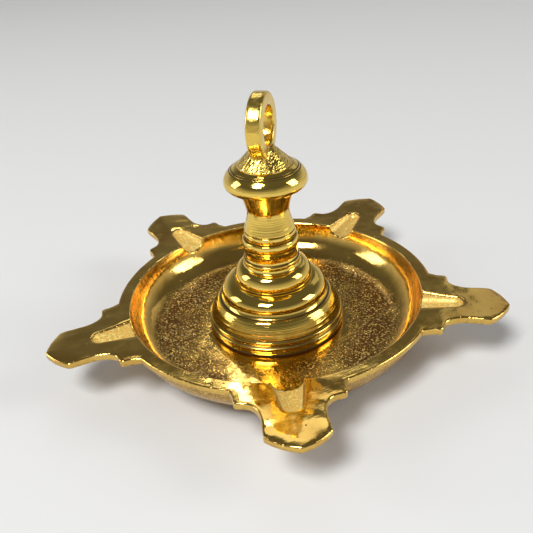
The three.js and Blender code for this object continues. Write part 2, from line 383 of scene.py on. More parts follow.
def thickness(k):
    """The beaks are a little thicker than the rim, and thin out over a few columns beside them."""
    past = max(0.0, (k - beak_columns) / thinning_columns)
    return between(beak_thickness, rim_thickness, min(past, 1.0))


def side_point(k, row):
    x, y = outer_edge(k)
    return (x, y, between(tip_chamfer((x, y)), -thickness(k), row / side_rows))


def under_turn(k):
    if k <= beak_columns:
        return keel_turn * k / beak_columns
    return between(keel_turn, half_sector, (k - beak_columns) / rim_columns)


def bowl_outside(row):
    turn = row / nose_rows * math.pi / 2
    r = between(floor_edge, rim_radius + bowl_wall, math.cos(turn))
    return r, -rim_thickness + (foot_plane + rim_thickness) * math.sin(turn)


def nose_point(k, row):
    """The bowl's outside, from which the nose swells out like a rounded keel under each beak."""
    turn = under_turn(k)
    r, z = bowl_outside(row)
    z -= (thickness(k) - rim_thickness) * (1 - row / nose_rows)
    fullness = math.sqrt(max(0.0, 1 - (z / keel_drop) ** 2))
    width = keel_half * fullness
    y = r * math.tan(turn)
    if y < width:
        r += (keel_reach - r) * fullness * math.sqrt(1 - (y / width) ** 2)
    return round_axis(r, turn, z)


def under_point(k, row):
    outer = np.array(side_point(k, side_rows))
    inner = np.array(nose_point(k, 0))
    return between(outer, inner, row_shares(0.27, under_rows)[row])


foot_middle = (foot_plane - rim_top) / 2
base_section = [
    (floor_edge, foot_plane), (40.0, foot_plane), (34.0, foot_plane), (foot_radius, foot_plane),
    (foot_radius, foot_middle), (foot_radius, -rim_top), (foot_inner, -rim_top),
    (foot_inner, foot_middle), (foot_inner, foot_plane), (16.0, foot_plane), (9.5, foot_plane),
    (bore_radius, foot_plane),
]


def base_point(k, row):
    r, z = base_section[row]
    return round_axis(r, under_turn(k), z)


print("rows under a beak:", under_rows + nose_rows)

# %% [markdown]
# ## Welding, mirroring and repeating
# The grids are welded into one half beak. `mirror` makes the other half, and `spin` with duplicates
# sets five of them round the axis. Modifiers could do the same, but they would have to be applied
# before a beak can be bent on its own. The bore is closed by bridging its two rims.

# %% Build the pan
boss_rough = 0.6
side_rough = 0.25
under_rough = 0.7


def half_beak():
    bm = bmesh.new()
    lay_grid(bm, top_columns, top_rows, top_point)
    lay_grid(bm, beak_columns, groove_rows, groove_point, rough=1.0, edge_rough=0.0)
    lay_grid(bm, bowl_columns, wall_rows, wall_point)
    lay_grid(bm, bowl_columns, floor_rows, floor_point)
    lay_grid(bm, bowl_columns, boss_rows, boss_point, boss_rough)
    lay_grid(bm, top_columns, side_rows, side_point, side_rough)
    lay_grid(bm, top_columns, under_rows, under_point, under_rough)
    lay_grid(bm, top_columns, nose_rows, nose_point, under_rough)
    lay_grid(bm, top_columns, len(base_section) - 1, base_point, under_rough)
    bmesh.ops.remove_doubles(bm, verts=bm.verts, dist=0.02)
    return bm


def everything(bm):
    return bm.verts[:] + bm.edges[:] + bm.faces[:]


def loose_rims(bm):
    return [e for e in bm.edges if e.is_boundary]


bm = half_beak()
print("half a beak:", len(bm.faces), "faces")
bmesh.ops.mirror(bm, geom=everything(bm), axis="Y", matrix=Matrix.Identity(4), merge_dist=0.001)
bmesh.ops.spin(
    bm, geom=everything(bm), cent=(0, 0, 0), axis=(0, 0, 1), angle=2 * math.pi, steps=beak_count,
    use_duplicate=True, use_merge=True,
)
bmesh.ops.remove_doubles(bm, verts=bm.verts, dist=0.01)
bmesh.ops.rotate(bm, verts=bm.verts, matrix=Matrix.Rotation(-math.pi / 2, 3, "Z"))
print("open edges before the bore is closed:", len(loose_rims(bm)))
bmesh.ops.bridge_loops(bm, edges=loose_rims(bm))
print("open edges after:", len(loose_rims(bm)))
bmesh.ops.recalc_face_normals(bm, faces=bm.faces)
print("the pan's volume in mm3:", round(bm.calc_volume(signed=True)))

# %% [markdown]
# ## No two beaks alike
# The beaks were filed and set by hand after casting, so none of them is quite true. Each one is
# stretched, pushed aside and bent up a little, by a share that grows from the rim to the tip.

# %% Set the beaks out of true
beak_faults = [  # at the tip, in millimetres: how much longer, how far to its left and how far up
    (-1.0, 1.2, 0.5),  # the front beak, and on from there towards +X
    (0.0, 1.0, 0.4),
    (-0.5, -0.5, 1.7),
    (-0.8, -2.5, 2.3),
    (0.7, 0.0, 0.0),
]


def set_beak(bm, number, longer, aside, up):
    turn = 2 * half_sector * number - math.pi / 2
    outwards = Vector((math.cos(turn), math.sin(turn), 0))
    left = Vector((-math.sin(turn), math.cos(turn), 0))
    for v in bm.verts:
        share = (v.co.dot(outwards) - rim_radius) / (beak_tip - rim_radius)
        if share > 0:
            v.co += (outwards * longer + left * aside + Vector((0, 0, up))) * share**1.5


for number, faults in enumerate(beak_faults):
    set_beak(bm, number, *faults)
    print("beak", number, "is longer, aside and up by", faults)


# %% From a mesh to a piece of the lamp
def mesh_of(name, bm):
    mesh = bpy.data.meshes.new(name)
    bm.to_mesh(mesh)
    bm.free()
    return mesh


def put_in_scene(name, data):
    thing = bpy.data.objects.new(name, data)
    bpy.context.scene.collection.objects.link(thing)
    return thing


def make_piece(name, bm, nodes, material):
    """Turns a mesh in millimetres, measured from the rim, into a finished piece of the lamp."""
    bmesh.ops.scale(bm, vec=(mm, mm, mm), verts=bm.verts)
    bmesh.ops.translate(bm, vec=(0, 0, rim_top * mm), verts=bm.verts)
    for face in bm.faces:
        face.smooth = True
    piece = put_in_scene(name, mesh_of(name, bm))
    piece.data.materials.append(material)
    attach(piece, "root")
    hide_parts(*nodes)
    print(name, len(piece.data.polygons), "faces")


# %% [markdown]
# ## Rounding the edges
# Years of hand buffing have rounded the casting's edges, and a rounded edge catches a bright line of
# light. A bevel node in the finish could fake that line, but the outline would stay knife-sharp, so
# every hard edge is bevelled. The one that isn't is the inner corner under the rim, which no buffing
# wheel reaches: it is marked sharp instead.

# %% Bevel the pan
buffed_round = 0.5
buffed_corner = 35  # every corner of more degrees than this was rounded


def hard_edges(bm, angle):
    """The edges at which the surface turns by more than the angle, in degrees."""
    return [e for e in bm.edges if e.is_manifold and e.calc_face_angle() > math.radians(angle)]


def under_rim(edge):
    """Whether the edge is in the inner corner under the rim and round the noses."""
    middle = (edge.verts[0].co + edge.verts[1].co) / 2
    outside = middle.xy.length > rim_radius + 0.3 and foot_plane + 1 < middle.z < -1
    return outside and not edge.is_convex


def round_off(bm, edges, width, segments, clamp=True):
    """Bevels the edges. When it is clamped, a bevel stops where the next one begins."""
    bmesh.ops.bevel(
        bm, geom=edges, offset=width, offset_type="OFFSET", segments=segments, profile=0.5,
        affect="EDGES", clamp_overlap=clamp, material=-1,
    )


edges = hard_edges(bm, buffed_corner)
for edge in edges:
    edge.smooth = not under_rim(edge)
edges = [e for e in edges if e.smooth]
print("hard edges:", len(edges))
round_off(bm, edges, buffed_round, segments=3, clamp=False)
bmesh.ops.dissolve_degenerate(bm, dist=0.004, edges=bm.edges)  # slivers that the bevel left
bmesh.ops.recalc_face_normals(bm, faces=bm.faces)


# %% [markdown]
# ## Wiring a finish
# A procedural finish is a small graph of nodes. Two helpers keep the graphs readable: one adds a node
# and joins or sets its inputs, and one reads the place of a point on the piece in millimetres. Masks
# then say where the brass was buffed, where it was turned and where the sand's skin was left on.

# %% Helpers for the finishes
def add(tree, kind, inputs, out=0, **settings):
    """Adds a node, sets or joins its inputs, and gives back one of its outputs."""
    node = tree.nodes.new("ShaderNode" + kind)
    for key, value in settings.items():
        setattr(node, key, value)
    for key, value in inputs.items():
        if isinstance(value, bpy.types.NodeSocket):
            tree.links.new(value, node.inputs[key])
        else:
            node.inputs[key].default_value = value
    return node.outputs[out]


def work(tree, operation, a, b=0.0):
    return add(tree, "Math", {0: a, 1: b}, operation=operation)


def times(tree, *factors):
    product = factors[0]
    for factor in factors[1:]:
        product = work(tree, "MULTIPLY", product, factor)
    return product


def fade(tree, value, start, end, low=0.0, high=1.0):
    """Runs smoothly from low to high while the value runs from start to end."""
    ends = {"Value": value, "From Min": start, "From Max": end, "To Min": low, "To Max": high}
    return add(tree, "MapRange", ends, interpolation_type="SMOOTHSTEP")


def noise(tree, point, size, detail=2.0, roughness=0.5):
    """A cloudy pattern from 0 to 1 whose lumps are about the given size in millimetres."""
    settings = {"Vector": point, "Scale": 1 / size, "Detail": detail, "Roughness": roughness}
    return add(tree, "TexNoise", settings)


def stretched(tree, point, lengths, turn=(0, 0, 0)):
    """The same point in a turned space, in which a mark is as long each way as the lengths say."""
    settings = {"Vector": point, "Rotation": turn, "Scale": lengths}
    return add(tree, "Mapping", settings, vector_type="TEXTURE")


def blend(tree, share, first, second):
    inputs = {"Factor": share, 6: first, 7: second}
    return add(tree, "Mix", inputs, out=2, data_type="RGBA")


def relief(tree, height, depth, normal=None):
    """Turns a height from 0 to 1 into a relief of the given depth in millimetres."""
    inputs = {"Height": height, "Distance": depth * mm, "Strength": 1.0}
    if normal is not None:
        inputs["Normal"] = normal
    return add(tree, "Bump", inputs)


# %% Helpers for a whole material
def places(tree):
    """The point, its distance from the axis and its height over the standing plane, in millimetres."""
    metres = add(tree, "TexCoord", {}, out="Object")
    point = add(tree, "VectorMath", {0: metres, "Scale": 1 / mm}, operation="SCALE")
    flat = add(tree, "VectorMath", {0: point, 1: (1, 1, 0)}, operation="MULTIPLY")
    radius = add(tree, "VectorMath", {0: flat}, out="Value", operation="LENGTH")
    height = add(tree, "SeparateXYZ", {0: point}, out="Z")
    return point, radius, height


def metal(name, metallic=1.0):
    material = bpy.data.materials.new(name)
    material.use_nodes = True
    shader = material.node_tree.nodes["Principled BSDF"]
    shader.inputs["Metallic"].default_value = metallic
    return material, material.node_tree, shader


def dress(tree, shader, colour, roughness, normal):
    tree.links.new(colour, shader.inputs["Base Color"])
    tree.links.new(roughness, shader.inputs["Roughness"])
    tree.links.new(normal, shader.inputs["Normal"])


# %% [markdown]
# ## The cast brass of the pan
# The pan left a sand mould with a granular skin. Its rim, beaks and bowl were buffed bright, but the
# skin stays in the wick grooves, under the pan, and in a band of the bowl's floor that the wheel did
# not reach. That band is darkened between its grains with grime and painted shade, and its grain
# tops are worn bright, with a painted highlight. The grooves get a pale gold that is partly painted
# light, with painted highlights on their grains and painted shade between them. Near the bell the
# floor was turned, which left soft rings. The buffed faces are never quite flat, so a broad shallow
# relief bends their reflections.

# %% Colours of the brass
gold = (0.88, 0.63, 0.145, 1)
deep_gold = (0.80, 0.55, 0.11, 1)
cast_gold = (0.86, 0.575, 0.145, 1)  # the pan's alloy is a shade redder than the stem's
deep_cast_gold = (0.74, 0.455, 0.105, 1)
skin_gold = (0.27, 0.145, 0.037, 1)
# grime with painted shade between the floor band's grains, and wear with a painted highlight on their
# tops
grime_and_shade_gold = (0.17, 0.075, 0.018, 1)
worn_highlight_gold = (1.0, 0.78, 0.25, 1)
# the grooves: a pale gold that is partly painted light, with painted shade between their grains
groove_highlight_gold = (1.0, 0.87, 0.31, 1)
groove_painted_shade = (0.87, 0.54, 0.12, 1)
dull_gold = (0.11, 0.062, 0.018, 1)


# %% Where the wheel missed the bowl's floor
def missed_floor(tree, point, radius, inside):
    """A ragged band of the floor, plainer to the left and right than in front and behind."""
    patches = noise(tree, point, 12.0, 1.0)
    across = work(tree, "ABSOLUTE", add(tree, "SeparateXYZ", {0: point}, out="X"))
    sideways = work(tree, "ADD", work(tree, "DIVIDE", across, radius), patches)
    ragged = work(tree, "ADD", radius, times(tree, patches, 14.0))
    return times(
        tree, inside, fade(tree, ragged, 34, 48), fade(tree, radius, 53, 45),
        fade(tree, sideways, 0.45, 1.35), fade(tree, patches, 0.2, 0.65, 0.4, 1.0),
    )


# %% Relief of the pan, from the broadest form to the finest
def buffed_relief(tree, point, radius, inside):
    """Broad swells that are deepest on the beaks, small ones, and the rings of the turned floor."""
    uneven = fade(tree, radius, 58, 72, 0.6, 1.0)
    normal = relief(tree, times(tree, noise(tree, point, 8.0, 1.0), uneven), 0.34)
    normal = relief(tree, noise(tree, point, 2.6, 2.0), 0.035, normal)
    round_and_round = add(tree, "CombineXYZ", {"X": radius})
    rings = noise(tree, round_and_round, 1.5, 2.0)
    turned_zone = times(tree, inside, fade(tree, radius, 50, 30, 0.15, 1.0))
    return relief(tree, times(tree, rings, turned_zone), 0.06, normal)


def marked_relief(tree, point, coarse, pits, normal):
    """The grains of the skin, the file's strokes on the upright sides, scratches and pits."""
    normal = relief(tree, coarse, 0.27, normal)
    facing = add(tree, "TexCoord", {}, out="Normal")
    upright = work(tree, "ABSOLUTE", add(tree, "SeparateXYZ", {0: facing}, out="Z"))
    strokes = noise(tree, stretched(tree, point, (0.7, 0.7, 4.0)), 1.0, 2.0)
    normal = relief(tree, times(tree, strokes, fade(tree, upright, 0.6, 0.25)), 0.10, normal)
    scratches = noise(tree, stretched(tree, point, (8.0, 0.6, 0.6), (0, 0, 0.5)), 0.9, 2.0)
    normal = relief(tree, scratches, 0.010, normal)
    return relief(tree, pits, 0.15, normal)


# %% Colour of the pan
def cast_tone(tree, point, skin, missed, in_groove, grains, pits):
    """Clouds of two golds, then dark skin, grime and painted shade between worn grains whose tops get
    a painted highlight, grooves in a pale gold with painted light and shade, and dark pits.
    """
    clouds = fade(tree, noise(tree, point, 18.0, 2.0), 0.35, 0.65)
    tone = blend(tree, clouds, cast_gold, deep_cast_gold)
    tone = blend(tree, times(tree, skin, fade(tree, grains, 0.7, 0.1, 0.4, 1.0)), tone, skin_gold)
    # painted shade, with grime, between the grains of the unbuffed floor band, then a painted
    # highlight on their worn tops
    tone = blend(tree, times(tree, missed, fade(tree, grains, 0.9, 0.3)), tone, grime_and_shade_gold)
    tone = blend(tree, times(tree, missed, fade(tree, grains, 0.45, 1.0)), tone, worn_highlight_gold)
    # painted highlights on the grooves' grains and painted shade between them, over a pale gold that
    # is partly painted light
    speckled = blend(tree, fade(tree, grains, 0.0, 0.6), groove_painted_shade, groove_highlight_gold)
    tone = blend(tree, in_groove, tone, speckled)
    return blend(tree, fade(tree, pits, 1.0, 0.0), tone, dull_gold)


# %% Finish of the pan
def cast_finish():
    material, tree, shader = metal("buffed_cast_brass")
    point, radius, height = places(tree)
    inside = fade(tree, height, 7.0, 8.5)  # the underside of the floor lies lower
    marked = add(tree, "Attribute", {}, out="Fac", attribute_name="as_cast")
    in_groove = fade(tree, marked, 0.75, 0.95)
    missed = missed_floor(tree, point, radius, inside)
    skin = work(tree, "MAXIMUM", marked, missed)
    grains = fade(tree, noise(tree, point, 0.8, 1.5), 0.50, 0.64)
    near = add(tree, "TexVoronoi", {"Vector": point, "Scale": 0.2}, out="Distance")
    pits = fade(tree, near, 0.02, 0.08)
    coarse = times(tree, grains, skin, fade(tree, in_groove, 0, 1, 0.6, 1.0))
    normal = buffed_relief(tree, point, radius, inside)
    normal = marked_relief(tree, point, coarse, pits, normal)
    tone = cast_tone(tree, point, skin, missed, in_groove, grains, pits)
    shine = fade(tree, noise(tree, point, 5.0, 3.0), 0.3, 0.7, 0.07, 0.15)
    roughness = work(tree, "ADD", shine, times(tree, skin, 0.24))
    dress(tree, shader, tone, roughness, normal)
    tree.links.new(fade(tree, in_groove, 0.0, 1.0, 1.0, 0.35), shader.inputs["Metallic"])
    return material


make_piece("oil_pan_casting", bm, ["oil_pan"], cast_finish())

# %% [markdown]
# ## Turning the stem
# The bell, the neck and the knob were turned on a lathe, so each is half a section spun once round
# the axis. Modelling the section as a chain of vertices and spinning it is exactly what the lathe
# did, and keeps every ring round. The cut lines between the bands are real grooves, and their points
# carry a mark, because polish and dirt stay in them and darken them.

# %% Turning helpers
tool_corner = 28  # every corner of more degrees than this was touched with a file


def swell(start, end, steps=12):
    """Leaves the start upright and comes to the end level, as a quarter of an ellipse."""
    return [
        (between(end[0], start[0], math.cos(turn)), between(start[1], end[1], math.sin(turn)))
        for turn in np.linspace(0, math.pi / 2, steps + 1)
    ]


def crowned(radius, crown, low, high, steps=8):
    """A rounded band between two heights that stands out to the given radius."""
    return [
        (radius - crown + crown * math.sin(turn), low + (high - low) * (1 - math.cos(turn)) / 2)
        for turn in np.linspace(0, math.pi, steps + 1)
    ]


def turn_up(section, steps=128):
    """Spins a closed half section of (radius, height, darkness of a cut line) round the axis."""
    bm = bmesh.new()
    mark = bm.verts.layers.float.new("cut_line")
    chain = []
    for radius, height, *dark in section:
        vertex = bm.verts.new((radius, 0, height))
        vertex[mark] = dark[0] if dark else 0.0
        chain.append(vertex)
    for first, second in zip(chain, chain[1:] + chain[:1]):
        bm.edges.new((first, second))
    bmesh.ops.spin(
        bm, geom=bm.verts[:] + bm.edges[:], cent=(0, 0, 0), axis=(0, 0, 1), angle=2 * math.pi,
        steps=steps, use_merge=True,
    )
    bmesh.ops.remove_doubles(bm, verts=bm.verts, dist=0.0001)
    bmesh.ops.recalc_face_normals(bm, faces=bm.faces)
    return bm


def break_corners(bm, width):
    """The light touch of a file on each corner that the tool left."""
    round_off(bm, hard_edges(bm, tool_corner), width, segments=2)
    bmesh.ops.remove_doubles(bm, verts=bm.verts, dist=0.004)  # where two bevels meet in a line
    bmesh.ops.recalc_face_normals(bm, faces=bm.faces)


# %% Sections of the bell
bell_seat = -13.0
neck_seat = 14.4
bell_outside = [
    (26.9, bell_seat), (27.15, -12.7), (27.25, -12.0), (27.25, -11.2), (27.1, -10.2),
    (26.75, -9.95, 1), (26.55, -9.8, 1), (26.6, -9.65, 1),
    *crowned(26.85, 0.45, -9.55, -7.6),
    (26.15, -7.5, 1), (25.95, -7.35, 1), (26.05, -7.2),
    (25.5, -6.1), (24.9, -4.8), (24.3, -3.6), (23.6, -2.4), (22.85, -1.35),
    (22.6, -1.1), (22.35, -0.95), (21.8, -0.85, 0.8), (21.5, -0.75, 0.8),
    (21.1, -0.35), (20.75, 0.15), (20.5, 0.7), (20.4, 1.15, 0.7), (20.55, 1.3, 0.7),
    *swell((20.9, 1.9), (15.3, 6.5), 16),
    (15.05, 6.5, 0.8), (15.1, 6.65, 0.8),
    *swell((15.4, 7.2), (11.6, 13.0), 16),
    (11.35, 13.1), (11.15, 13.3), (10.95, 13.8), (10.9, neck_seat),
]
bell_inside = [
    (bore_radius, neck_seat), (bore_radius, 10.8), (8.5, 10.8), (13.0, 7.7), (12.5, 4.1),
    (18.5, 1.6), (18.1, -1.0), (23.6, -7.4), (24.1, bell_seat),
]

# %% Sections of the neck and the knob
knob_seat = 43.9
ring_seat = 54.15


def flowing(marks, steps=28):
    """A smooth line through a few marks, each stretch bent by its neighbours."""
    marks = np.array(marks, float)
    padded = np.vstack([marks[:1], marks, marks[-1:]])
    line = []
    for t in np.linspace(0, len(marks) - 1, steps + 1):
        i = min(int(t), len(marks) - 2)
        s = t - i
        before, start, end, after = padded[i:i + 4]
        lead, tail = (end - before) / 2, (after - start) / 2
        bend = (2 * start - 2 * end + lead + tail) * s**3
        line.append(bend + (-3 * start + 3 * end - 2 * lead - tail) * s**2 + lead * s + start)
    return [tuple(p) for p in line]


neck_section = [
    *crowned(11.2, 0.3, neck_seat, 16.1),
    (10.75, 16.25, 0.8), (10.45, 16.4, 0.8), (10.3, 16.7), (10.22, 17.6), (10.22, 19.2),
    (10.3, 20.1), (10.35, 20.3, 0.8), (10.3, 20.45, 0.8),
    *crowned(10.95, 0.55, 20.5, 24.7, 12),
    (10.05, 24.85, 1), (9.75, 24.95, 1),
    *crowned(10.1, 0.3, 25.0, 27.6),
    (9.5, 27.7, 1), (9.5, 27.9, 1),
    *flowing([(9.9, 28.1), (8.2, 34.6), (8.6, 38.6), (10.4, knob_seat)]),
    (bore_radius, knob_seat), (bore_radius, neck_seat),
]

knob_radius = 15.8
knob_belly = 48.0
neck_top_radius = 10.4
crown_radius = 10.8
lower_full = (knob_belly - knob_seat) / math.sqrt(1 - (neck_top_radius / knob_radius) ** 2)
upper_full = (ring_seat - knob_belly) / math.sqrt(1 - (crown_radius / knob_radius) ** 2)
engraved_turns = (0.58, 0.66)  # where the two engraved lines run on the knob's upper half
engraved_depth = 0.28
engraved_half = 0.016
knob_steps = 55


def knob_outline():
    """Two quarter ellipses that meet at the belly, with the engraved lines cut in the upper one."""
    low = -math.acos(neck_top_radius / knob_radius)
    high = math.acos(crown_radius / knob_radius)
    turns = list(np.linspace(low, high, knob_steps + 1))
    brinks = []
    for turn in engraved_turns:  # the even steps make room for the two brinks of each line
        turns = [t for t in turns if abs(t - turn) > 1.2 * engraved_half]
        brinks += [turn - engraved_half, turn + engraved_half]
    outline = []
    for turn in sorted([*turns, *brinks, *engraved_turns]):
        cut = engraved_depth if turn in engraved_turns else 0.0
        dark = 1.0 if cut else 0.6 if turn in brinks else 0.0
        full = lower_full if turn < 0 else upper_full
        radius = (knob_radius - cut) * math.cos(turn)
        outline.append((radius, knob_belly + (full - cut) * math.sin(turn), dark))
    return outline


knob_section = [*knob_outline(), (bore_radius, ring_seat), (bore_radius, knob_seat)]
print("points in the knob's section:", len(knob_section))


# %% [markdown]
# ## The turned brass of the stem
# A lathe leaves rings at every feed of the tool, and polishing takes most of them away: the lobe and
# the bulge are mirrors, and the skirt, the foot and the lower neck keep fine rings. The relief reads
# only the radius and the height, so each ring runs true round the axis.

# %% Finish of the turned pieces
def turned_finish():
    material, tree, shader = metal("turned_brass")
    point, radius, height = places(tree)
    lines = add(tree, "Attribute", {}, out="Fac", attribute_name="cut_line")
    along = add(tree, "CombineXYZ", {"X": radius, "Y": height})

    # the tool's rings stay on the foot and the lower neck, and faintly everywhere
    foot = fade(tree, height, 24.5, 21.0)
    waist = times(tree, fade(tree, height, 49.5, 50.8), fade(tree, height, 67.0, 55.0))
    ringed = work(tree, "MAXIMUM", work(tree, "MAXIMUM", foot, waist), 0.14)
    feed = noise(tree, along, 0.7, 2.0)
    worn = fade(tree, height, 60.0, 67.0, 0.05, 0.17)  # the knob is handled most
    normal = relief(tree, times(tree, noise(tree, point, 5.0, 3.0, 0.45), worn), 1.0)
    normal = relief(tree, times(tree, feed, ringed), 0.14, normal)
    scratches = noise(tree, stretched(tree, point, (0.6, 0.6, 6.5), (0.3, 0.2, 0)), 0.8, 2.0)
    normal = relief(tree, scratches, 0.006, normal)
    tone = blend(tree, fade(tree, noise(tree, point, 11.0, 2.0), 0.3, 0.7), gold, deep_gold)
    tone = blend(tree, fade(tree, lines, 0.05, 0.8, 0.0, 0.97), tone, dull_gold)
    shine = fade(tree, noise(tree, along, 1.6, 2.0), 0.3, 0.7, 0.045, 0.10)
    roughness = work(tree, "ADD", shine, times(tree, lines, 0.4))
    dress(tree, shader, tone, roughness, normal)
    return material


# %% Turn the bell, the neck and the knob
file_touch = 0.1
bell_touch = 0.12
turned_brass = turned_finish()

bm = turn_up(bell_outside + bell_inside, steps=160)
break_corners(bm, bell_touch)
make_piece("bell_turning", bm, ["bell_foot"], turned_brass)

bm = turn_up(neck_section)
break_corners(bm, file_touch)
make_piece("neck_turning", bm, ["turned_neck"], turned_brass)

bm = turn_up(knob_section)
break_corners(bm, file_touch)
make_piece("knob_turning", bm, ["crown_knob"], turned_brass)

# %% [markdown]
# ## The ring and its filed crown
# The ring is one stout casting with a cone at its foot and a pin that goes down into the knob. It was
# cleaned up by hand with a file, so its outer band has shallow flats, and slanting strokes run round
# the cone. Here a short tube and a cone are cut with a few planes each, as the file did. A boolean
# would leave a crease where they meet. A voxel remesh melts them into one skin with soft inner
# corners, as in a casting.

# %% A band with rounded edges
ring_radius = 12.1
ring_hole = 7.2
ring_half = 2.9
outer_round = 1.2
inner_round = 0.6


def ring_band():
    """A disc whose two faces are opened and bridged into a hole, and then laid on its edge."""
    bm = bmesh.new()
    bmesh.ops.create_cone(
        bm, cap_ends=True, cap_tris=False, segments=120, radius1=ring_radius, radius2=ring_radius,
        depth=2 * ring_half,
    )
    cheeks = [f for f in bm.faces if len(f.verts) > 4]
    bmesh.ops.inset_individual(bm, faces=cheeks, thickness=ring_radius - ring_hole)
    cheeks = [f for f in bm.faces if len(f.verts) > 4]
    rims = list({e for f in cheeks for e in f.edges})
    bmesh.ops.delete(bm, geom=cheeks, context="FACES_ONLY")
    bmesh.ops.bridge_loops(bm, edges=rims)
    hard = hard_edges(bm, 60)
    outer = [e for e in hard if e.verts[0].co.xy.length > ring_radius - 0.1]
    inner = [e for e in hard if e not in outer]
    round_off(bm, outer, outer_round, segments=5)
    round_off(bm, inner, inner_round, segments=5)
    bmesh.ops.rotate(bm, verts=bm.verts, matrix=Matrix.Rotation(math.pi / 2, 3, "Y"))
    return bm


bm = ring_band()
print("the band:", len(bm.faces), "faces")

# %% File the band
ring_centre = 68.5
band_strokes = 12  # the file's strokes across the band, from one side of the foot to the other
first_stroke = -121
stroke_step = 22
stroke_leans = (1.6, -2.2, 0.6)
stroke_depth = 0.05


def file_flat(bm, place, direction):
    """One stroke of the file: everything beyond the plane comes off, and the cut is closed."""
    bmesh.ops.bisect_plane(
        bm, geom=everything(bm), dist=0.0001, plane_co=place, plane_no=direction, clear_outer=True,
    )
    bmesh.ops.holes_fill(bm, edges=loose_rims(bm))


for stroke in range(band_strokes):
    swing = math.radians(first_stroke + stroke_step * stroke)
    lean = math.radians(stroke_leans[stroke % len(stroke_leans)])
    direction = Vector((
        math.sin(lean), math.cos(lean) * math.sin(swing), math.cos(lean) * math.cos(swing),
    ))
    file_flat(bm, direction * (ring_radius - stroke_depth), direction)
bmesh.ops.translate(bm, verts=bm.verts, vec=(0, 0, ring_centre))
print("open edges of the filed band:", len(loose_rims(bm)))

# %% Add the crown and the pin
ring_turn = math.radians(-18)
crown_top = 61.0
crown_top_radius = 4.3
crown_strokes = 26
crown_depths = (0.08, 0.24, 0.15)
crown_twists = (8, 3, 14, -2)
crown_leans = (4, -3, 6, 0, -5)
shank_radius = 3.0
shank_length = 6.0
shank_overlap = 1.0  # the pin reaches this far up into the crown


def solid_cone(bm, low, high, low_radius, high_radius):
    made = bmesh.ops.create_cone(
        bm, cap_ends=True, segments=48, radius1=low_radius, radius2=high_radius, depth=high - low,
    )
    bmesh.ops.translate(bm, verts=made["verts"], vec=(0, 0, (low + high) / 2))


def filed_crown():
    """A rough cone whose side was brought down by slanting strokes of a file, no two alike."""
    bm = bmesh.new()
    solid_cone(bm, ring_seat, crown_top, crown_radius, crown_top_radius)
    slope = math.atan2(crown_radius - crown_top_radius, crown_top - ring_seat)
    middle = Vector(((crown_radius + crown_top_radius) / 2, 0, (ring_seat + crown_top) / 2))
    outwards = Vector((math.cos(slope), 0, math.sin(slope)))
    upwards = Vector((-math.sin(slope), 0, math.cos(slope)))
    for stroke in range(crown_strokes):
        depth = crown_depths[stroke % len(crown_depths)]
        twist = Matrix.Rotation(math.radians(crown_twists[stroke % len(crown_twists)]), 3, outwards)
        lean = Matrix.Rotation(math.radians(crown_leans[stroke % len(crown_leans)]), 3, upwards)
        uneven = stroke + 0.2 * math.sin(3 * stroke)
        swing = Matrix.Rotation(2 * math.pi * uneven / crown_strokes, 3, "Z")
        file_flat(bm, swing @ (middle - outwards * depth), swing @ twist @ lean @ outwards)
    return bm


def join_in(bm, other):
    """Copies one mesh into another."""
    mesh = mesh_of("joining", other)
    bm.from_mesh(mesh)
    bpy.data.meshes.remove(mesh)


join_in(bm, filed_crown())
solid_cone(bm, ring_seat - shank_length, ring_seat + shank_overlap, shank_radius, shank_radius)
bmesh.ops.rotate(bm, verts=bm.verts, matrix=Matrix.Rotation(ring_turn, 3, "Z"))
print("the ring, the crown and the pin:", len(bm.faces), "faces")

# %% Melt it into one skin
skin_fineness = 0.24
skin_smoothings = 3


def melted(bm):
    """One closed skin round everything in the mesh, made of even quads."""
    mesh = mesh_of("melting", bm)
    pot = put_in_scene("melting", mesh)
    remesh = pot.modifiers.new("melt", "REMESH")
    remesh.mode = "VOXEL"
    remesh.voxel_size = skin_fineness
    skin = bpy.data.meshes.new_from_object(pot.evaluated_get(bpy.context.evaluated_depsgraph_get()))
    bpy.data.objects.remove(pot)
    bpy.data.meshes.remove(mesh)
    made = bmesh.new()
    made.from_mesh(skin)
    bpy.data.meshes.remove(skin)
    return made


bm = melted(bm)
for _ in range(skin_smoothings):
    bmesh.ops.smooth_vert(
        bm, verts=bm.verts, factor=0.5, use_axis_x=True, use_axis_y=True, use_axis_z=True,
    )
bmesh.ops.recalc_face_normals(bm, faces=bm.faces)
print("the ring's skin:", len(bm.faces), "faces, open edges", len(loose_rims(bm)))


# %% [markdown]
# ## The filed brass of the ring
# File marks are short straight furrows that lie side by side. A cloudy pattern stretched in one
# direction gives them, deep on the crown and light on the band. Between them a few pits stay from the
# casting.

# %% Finish of the ring
def filed_finish():
    material, tree, shader = metal("filed_brass")
    point, _, height = places(tree)
    crown = fade(tree, height, 84.5, 82.0)
    swellings = noise(tree, point, 3.0, 2.0)
    normal = relief(tree, swellings, 0.16)
    furrows = noise(tree, stretched(tree, point, (5.5, 0.65, 0.65), (0, -0.73, 0.52)), 1.0, 1.0)
    normal = relief(tree, times(tree, furrows, fade(tree, crown, 0, 1, 0.08, 1.0)), 0.38, normal)
    near = add(tree, "TexVoronoi", {"Vector": point, "Scale": 0.35}, out="Distance")
    pits = fade(tree, near, 0.03, 0.12)
    normal = relief(tree, pits, 0.2, normal)
    tone = blend(tree, fade(tree, noise(tree, point, 6.0, 2.0), 0.35, 0.65), gold, deep_gold)
    hollow = times(tree, fade(tree, furrows, 0.5, 0.32), crown)
    tone = blend(tree, times(tree, hollow, 0.6), tone, dull_gold)
    tone = blend(tree, fade(tree, pits, 1.0, 0.0), tone, dull_gold)
    shine = fade(tree, noise(tree, point, 2.5, 2.0), 0.3, 0.7, 0.16, 0.28)
    dress(tree, shader, tone, shine, normal)
    return material


